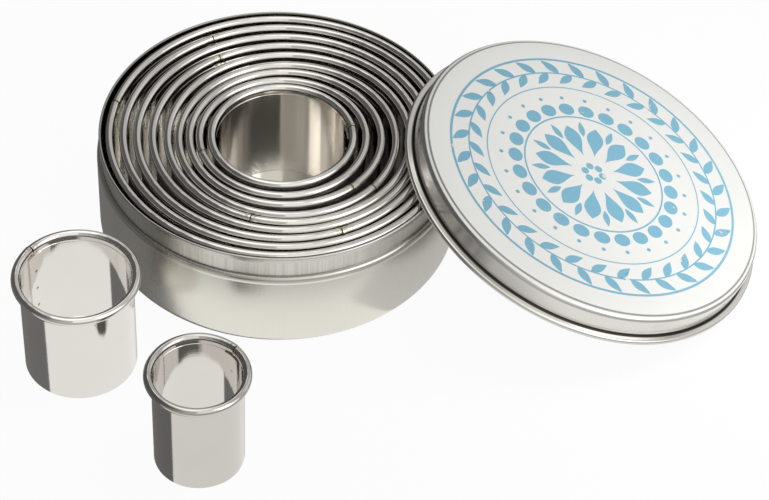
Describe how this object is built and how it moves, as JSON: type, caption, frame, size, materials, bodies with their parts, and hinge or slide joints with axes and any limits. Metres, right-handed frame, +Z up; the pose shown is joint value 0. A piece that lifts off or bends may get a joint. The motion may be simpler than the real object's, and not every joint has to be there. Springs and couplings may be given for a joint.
{
  "type": "biscuit cutter set",
  "caption": "Plain round biscuit cutters with rolled rims, nested in a round tin, with a slip lid leaning on the tin and two small cutters beside it.",
  "frame": {"origin": "centre of the tin's base, on the surface that the tin stands on", "axes": "+Z up along the tin's axis, -Y towards the front with the two loose cutters, +X towards the side where the lid leans"},
  "size_m": [0.1987, 0.1518, 0.0416],
  "materials": {
    "tin_sheet": "satin tinplate with fine rolling lines, brighter hem",
    "lid_sheet": null,
    "cutter_steel": "mirror-polished stainless strip with fine vertical polishing marks"
  },
  "bodies": {
    "tin": {"tin": "tin_sheet"},
    "lid": {"lid": "lid_sheet"},
    "cutter_01": {"cutter_01": "cutter_steel"},
    "cutter_02": {"cutter_02": "cutter_steel"},
    "cutter_03": {"cutter_03": "cutter_steel"},
    "cutter_04": {"cutter_04": "cutter_steel"},
    "cutter_05": {"cutter_05": "cutter_steel"},
    "cutter_06": {"cutter_06": "cutter_steel"},
    "cutter_07": {"cutter_07": "cutter_steel"},
    "cutter_08": {"cutter_08": "cutter_steel"},
    "cutter_09": {"cutter_09": "cutter_steel"},
    "cutter_10": {"cutter_10": "cutter_steel"},
    "cutter_11": {"cutter_11": "cutter_steel"}
  },
  "joints": [
    {"name": "lid_lift", "type": "slide", "parent": "tin", "child": "lid", "axis": [0, 0, 1], "range_m": [0, 0.04]},
    {"name": "cutter_01_lift", "type": "slide", "parent": "tin", "child": "cutter_01", "axis": [0, 0, 1], "range_m": [0, 0.04]},
    {"name": "cutter_02_lift", "type": "slide", "parent": "tin", "child": "cutter_02", "axis": [0, 0, 1], "range_m": [0, 0.04]},
    {"name": "cutter_03_lift", "type": "slide", "parent": "tin", "child": "cutter_03", "axis": [0, 0, 1], "range_m": [0, 0.04]},
    {"name": "cutter_04_lift", "type": "slide", "parent": "tin", "child": "cutter_04", "axis": [0, 0, 1], "range_m": [0, 0.04]},
    {"name": "cutter_05_lift", "type": "slide", "parent": "tin", "child": "cutter_05", "axis": [0, 0, 1], "range_m": [0, 0.04]},
    {"name": "cutter_06_lift", "type": "slide", "parent": "tin", "child": "cutter_06", "axis": [0, 0, 1], "range_m": [0, 0.04]},
    {"name": "cutter_07_turn", "type": "hinge", "parent": "tin", "child": "cutter_07", "pos_m": [0.00277, -0.00141, 0], "axis": [0, 0, 1], "continuous": true},
    {"name": "cutter_08_turn", "type": "hinge", "parent": "tin", "child": "cutter_08", "pos_m": [0.00209, -0.00092, 0], "axis": [0, 0, 1], "continuous": true},
    {"name": "cutter_09_turn", "type": "hinge", "parent": "tin", "child": "cutter_09", "pos_m": [0.00131, -0.00062, 0], "axis": [0, 0, 1], "continuous": true},
    {"name": "cutter_10_turn", "type": "hinge", "parent": "tin", "child": "cutter_10", "pos_m": [0.00096, -0.00022, 0], "axis": [0, 0, 1], "continuous": true},
    {"name": "cutter_11_turn", "type": "hinge", "parent": "tin", "child": "cutter_11", "pos_m": [0.00045, 0, 0], "axis": [0, 0, 1], "continuous": true}
  ]
}
